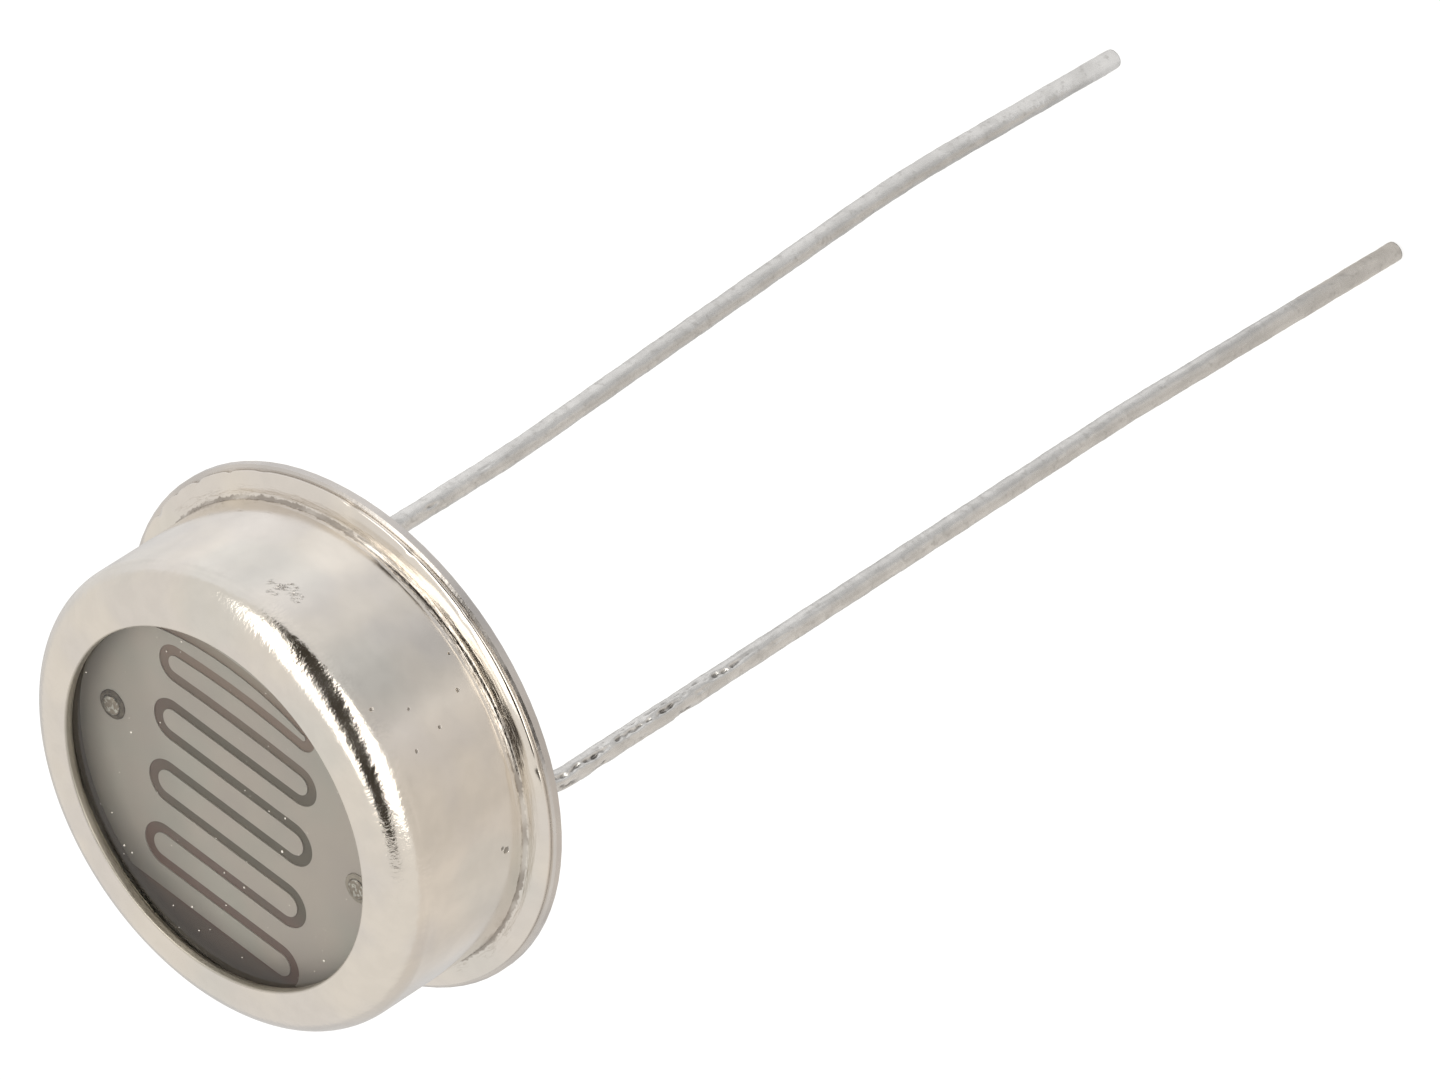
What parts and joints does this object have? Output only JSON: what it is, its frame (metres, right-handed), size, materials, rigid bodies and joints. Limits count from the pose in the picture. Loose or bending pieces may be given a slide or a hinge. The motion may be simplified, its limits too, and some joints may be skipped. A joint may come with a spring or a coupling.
{
  "type": "photoresistor",
  "caption": "Light-dependent resistor in a round metal can with a flat glass window, a winding comb-electrode cell behind it and straight wire leads.",
  "frame": {"origin": "middle of the header's flat underside, the face that seats on a board", "axes": "+Z along the can's axis, out through the window; X through the two leads, lead_right at +X; the leads run down -Z"},
  "size_m": [0.0152, 0.0152, 0.0417],
  "materials": {
    "nickel_plate": "satin",
    "window_glass": "gloss",
    "sealing_glass": "gloss",
    "header_plate": "satin",
    "bead_glass": "gloss",
    "tinned_wire": "satin",
    "alumina": "matte",
    "photoconductor": "satin",
    "electrode_metal": "satin",
    "cement": "matte"
  },
  "bodies": {
    "root": {"cap": "nickel_plate", "window_glass": "window_glass", "window_seal": "sealing_glass", "header": "header_plate", "glass_seal_left": "bead_glass", "glass_seal_right": "bead_glass", "lead_left": "tinned_wire", "lead_right": "tinned_wire", "ceramic_substrate": "alumina", "cds_layer": "photoconductor", "electrode_left": "electrode_metal", "electrode_right": "electrode_metal", "contact_bead_left": "cement", "contact_bead_right": "cement"}
  },
  "joints": []
}
